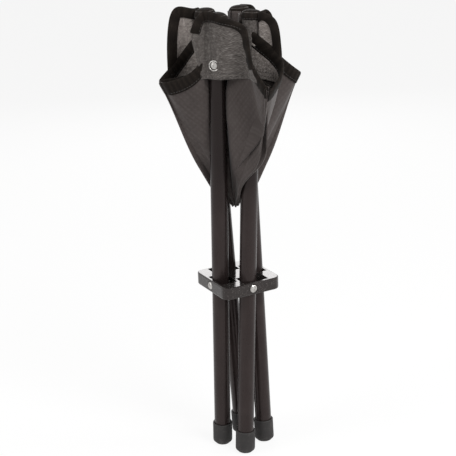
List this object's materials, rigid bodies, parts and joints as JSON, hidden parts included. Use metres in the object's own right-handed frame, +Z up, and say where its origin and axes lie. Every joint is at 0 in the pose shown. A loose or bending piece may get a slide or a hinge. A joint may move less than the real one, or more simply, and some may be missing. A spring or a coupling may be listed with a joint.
{
  "type": "folding camping stool",
  "caption": "Folding camping stool: tube legs pinned in the slots of a square hub, with rubber feet and a fabric seat hung from riveted corner pockets.",
  "frame": {"origin": "on the floor below the hub's centre, with the stool folded and standing on its feet", "axes": "+Z up along the hub's axis, +X out of the hub's right side, -Y out of its front side"},
  "size_m": [0.1394, 0.1394, 0.5114],
  "materials": {
    "tube_paint": "satin",
    "hub_plastic": "gloss",
    "foot_rubber": "matte",
    "plug_plastic": "matte",
    "rivet_steel": "bright",
    "pocket_cloth": "woven",
    "seat_cloth": "woven"
  },
  "bodies": {
    "hub": {"hub_body": "hub_plastic", "pivot_rivet_right": "rivet_steel", "pivot_rivet_back": "rivet_steel", "pivot_rivet_left": "rivet_steel", "pivot_rivet_front": "rivet_steel"},
    "leg_front": {"leg_tube_front": "tube_paint", "foot_cap_front": "foot_rubber", "end_plug_front": "plug_plastic", "seat_pocket_front": "pocket_cloth", "pocket_rivet_front": "rivet_steel"},
    "leg_right": {"leg_tube_right": "tube_paint", "foot_cap_right": "foot_rubber", "end_plug_right": "plug_plastic", "seat_pocket_right": "pocket_cloth", "pocket_rivet_right": "rivet_steel"},
    "leg_back": {"leg_tube_back": "tube_paint", "foot_cap_back": "foot_rubber", "end_plug_back": "plug_plastic", "seat_pocket_back": "pocket_cloth", "pocket_rivet_back": "rivet_steel"},
    "leg_left": {"leg_tube_left": "tube_paint", "foot_cap_left": "foot_rubber", "end_plug_left": "plug_plastic", "seat_pocket_left": "pocket_cloth", "pocket_rivet_left": "rivet_steel"},
    "wing_right_a": {"seat_wing_right_a": "seat_cloth"},
    "tuck_right_a": {"seat_tuck_right_a": "seat_cloth"},
    "wing_right_b": {"seat_wing_right_b": "seat_cloth"},
    "tuck_right_b": {"seat_tuck_right_b": "seat_cloth"},
    "wing_back_a": {"seat_wing_back_a": "seat_cloth"},
    "tuck_back_a": {"seat_tuck_back_a": "seat_cloth"},
    "wing_back_b": {"seat_wing_back_b": "seat_cloth"},
    "tuck_back_b": {"seat_tuck_back_b": "seat_cloth"},
    "wing_left_a": {"seat_wing_left_a": "seat_cloth"},
    "tuck_left_a": {"seat_tuck_left_a": "seat_cloth"},
    "wing_left_b": {"seat_wing_left_b": "seat_cloth"},
    "tuck_left_b": {"seat_tuck_left_b": "seat_cloth"},
    "wing_front_a": {"seat_wing_front_a": "seat_cloth"},
    "tuck_front_a": {"seat_tuck_front_a": "seat_cloth"},
    "wing_front_b": {"seat_wing_front_b": "seat_cloth"},
    "tuck_front_b": {"seat_tuck_front_b": "seat_cloth"}
  },
  "joints": [
    {"name": "front_leg_fold", "type": "hinge", "parent": "hub", "child": "leg_front", "pos_m": [0, -0.0225, 0.20567], "axis": [0, 1, 0], "range_deg": [0, 42], "deforming": ["seat_wing_right_a", "seat_tuck_right_a", "seat_wing_right_b", "seat_tuck_right_b", "seat_wing_back_a", "seat_tuck_back_a", "seat_wing_back_b", "seat_tuck_back_b", "seat_wing_left_a", "seat_tuck_left_a", "seat_wing_left_b", "seat_tuck_left_b", "seat_wing_front_a", "seat_tuck_front_a", "seat_wing_front_b", "seat_tuck_front_b"]},
    {"name": "right_leg_fold", "type": "hinge", "parent": "hub", "child": "leg_right", "pos_m": [0.0225, 0, 0.20567], "axis": [-1, 0, 0], "range_deg": [0, 42]},
    {"name": "back_leg_fold", "type": "hinge", "parent": "hub", "child": "leg_back", "pos_m": [0, 0.0225, 0.20567], "axis": [0, -1, 0], "range_deg": [0, 42]},
    {"name": "left_leg_fold", "type": "hinge", "parent": "hub", "child": "leg_left", "pos_m": [-0.0225, 0, 0.20567], "axis": [1, 0, 0], "range_deg": [0, 42]},
    {"name": "right_a_wing_fold", "type": "hinge", "parent": "leg_right", "child": "wing_right_a", "pos_m": [0.0225, 0.0157, 0.50526], "axis": [-0.1972, 0.4316, 0.8802], "range_deg": [0, 104.81]},
    {"name": "right_a_tuck_fold", "type": "hinge", "parent": "wing_right_a", "child": "tuck_right_a", "pos_m": [0.02938, 0.07019, 0.43926], "axis": [-0.1789, -0.4274, -0.8862], "range_deg": [0, 166.52]},
    {"name": "right_b_wing_fold", "type": "hinge", "parent": "leg_right", "child": "wing_right_b", "pos_m": [0.0225, 0.0157, 0.50526], "axis": [-0.8674, 0.2191, 0.4468], "range_deg": [0, 46.98]},
    {"name": "right_b_tuck_fold", "type": "hinge", "parent": "wing_right_b", "child": "tuck_right_b", "pos_m": [0.07297, -0.01362, 0.43922], "axis": [0.4467, -0.0834, 0.8908], "range_deg": [0, 166.52]},
    {"name": "back_a_wing_fold", "type": "hinge", "parent": "leg_back", "child": "wing_back_a", "pos_m": [-0.0157, 0.0225, 0.50526], "axis": [-0.4316, -0.1972, 0.8802], "range_deg": [0, 104.81]},
    {"name": "back_a_tuck_fold", "type": "hinge", "parent": "wing_back_a", "child": "tuck_back_a", "pos_m": [-0.07019, 0.02938, 0.43926], "axis": [0.4274, -0.1789, -0.8862], "range_deg": [0, 166.52]},
    {"name": "back_b_wing_fold", "type": "hinge", "parent": "leg_back", "child": "wing_back_b", "pos_m": [-0.0157, 0.0225, 0.50526], "axis": [-0.2191, -0.8674, 0.4468], "range_deg": [0, 46.98]},
    {"name": "back_b_tuck_fold", "type": "hinge", "parent": "wing_back_b", "child": "tuck_back_b", "pos_m": [0.01362, 0.07297, 0.43922], "axis": [0.0834, 0.4467, 0.8908], "range_deg": [0, 166.52]},
    {"name": "left_a_wing_fold", "type": "hinge", "parent": "leg_left", "child": "wing_left_a", "pos_m": [-0.0225, -0.0157, 0.50526], "axis": [0.1972, -0.4316, 0.8802], "range_deg": [0, 104.81]},
    {"name": "left_a_tuck_fold", "type": "hinge", "parent": "wing_left_a", "child": "tuck_left_a", "pos_m": [-0.02938, -0.07019, 0.43926], "axis": [0.1789, 0.4274, -0.8862], "range_deg": [0, 166.52]},
    {"name": "left_b_wing_fold", "type": "hinge", "parent": "leg_left", "child": "wing_left_b", "pos_m": [-0.0225, -0.0157, 0.50526], "axis": [0.8674, -0.2191, 0.4468], "range_deg": [0, 46.98]},
    {"name": "left_b_tuck_fold", "type": "hinge", "parent": "wing_left_b", "child": "tuck_left_b", "pos_m": [-0.07297, 0.01362, 0.43922], "axis": [-0.4467, 0.0834, 0.8908], "range_deg": [0, 166.52]},
    {"name": "front_a_wing_fold", "type": "hinge", "parent": "leg_front", "child": "wing_front_a", "pos_m": [0.0157, -0.0225, 0.50526], "axis": [0.4316, 0.1972, 0.8802], "range_deg": [0, 104.81]},
    {"name": "front_a_tuck_fold", "type": "hinge", "parent": "wing_front_a", "child": "tuck_front_a", "pos_m": [0.07019, -0.02938, 0.43926], "axis": [-0.4274, 0.1789, -0.8862], "range_deg": [0, 166.52]},
    {"name": "front_b_wing_fold", "type": "hinge", "parent": "leg_front", "child": "wing_front_b", "pos_m": [0.0157, -0.0225, 0.50526], "axis": [0.2191, 0.8674, 0.4468], "range_deg": [0, 46.98]},
    {"name": "front_b_tuck_fold", "type": "hinge", "parent": "wing_front_b", "child": "tuck_front_b", "pos_m": [-0.01362, -0.07297, 0.43922], "axis": [-0.0834, -0.4467, 0.8908], "range_deg": [0, 166.52]}
  ],
  "couplings": [
    {"joint": "right_leg_fold", "follows": "front_leg_fold", "ratio": 1},
    {"joint": "back_leg_fold", "follows": "front_leg_fold", "ratio": 1},
    {"joint": "left_leg_fold", "follows": "front_leg_fold", "ratio": 1},
    {"joint": "right_a_wing_fold", "follows": "front_leg_fold", "ratio": 2.495},
    {"joint": "right_a_tuck_fold", "follows": "front_leg_fold", "ratio": 3.9644},
    {"joint": "right_b_wing_fold", "follows": "front_leg_fold", "ratio": 1.1182},
    {"joint": "right_b_tuck_fold", "follows": "front_leg_fold", "ratio": 3.9644},
    {"joint": "back_a_wing_fold", "follows": "front_leg_fold", "ratio": 2.495},
    {"joint": "back_a_tuck_fold", "follows": "front_leg_fold", "ratio": 3.9644},
    {"joint": "back_b_wing_fold", "follows": "front_leg_fold", "ratio": 1.1182},
    {"joint": "back_b_tuck_fold", "follows": "front_leg_fold", "ratio": 3.9644},
    {"joint": "left_a_wing_fold", "follows": "front_leg_fold", "ratio": 2.495},
    {"joint": "left_a_tuck_fold", "follows": "front_leg_fold", "ratio": 3.9644},
    {"joint": "left_b_wing_fold", "follows": "front_leg_fold", "ratio": 1.1182},
    {"joint": "left_b_tuck_fold", "follows": "front_leg_fold", "ratio": 3.9644},
    {"joint": "front_a_wing_fold", "follows": "front_leg_fold", "ratio": 2.495},
    {"joint": "front_a_tuck_fold", "follows": "front_leg_fold", "ratio": 3.9644},
    {"joint": "front_b_wing_fold", "follows": "front_leg_fold", "ratio": 1.1182},
    {"joint": "front_b_tuck_fold", "follows": "front_leg_fold", "ratio": 3.9644}
  ]
}
